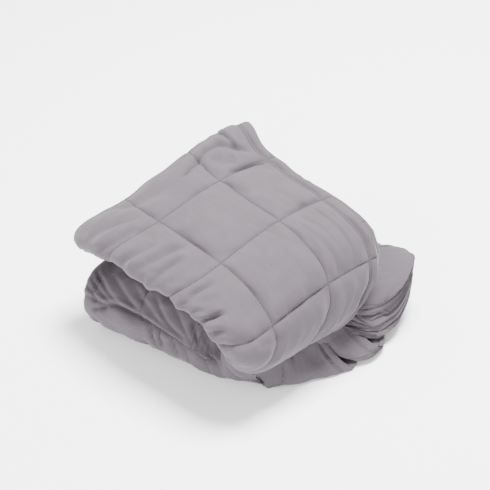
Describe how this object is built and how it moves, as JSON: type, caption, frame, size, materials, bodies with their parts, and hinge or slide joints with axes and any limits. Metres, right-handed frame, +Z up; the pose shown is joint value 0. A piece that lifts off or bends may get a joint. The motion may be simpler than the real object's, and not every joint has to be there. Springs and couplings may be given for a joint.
{
  "type": "weighted blanket",
  "caption": "Square-quilted weighted blanket folded into a strip and turned over once, so a thick top bundle lies on a lower one with a round turn between them.",
  "frame": {"origin": "middle of the bottom of the bounding box, on the surface the folded blanket lies on", "axes": "+Z up; +X along the top bundle, from its end fold to the turn; +Y across it, from the closed folds to the hems"},
  "size_m": [0.3826, 0.3734, 0.2022],
  "materials": {
    "cloth": "brushed microfibre, matt with a soft sheen"
  },
  "bodies": {
    "root": {"blanket": "cloth"}
  },
  "joints": []
}
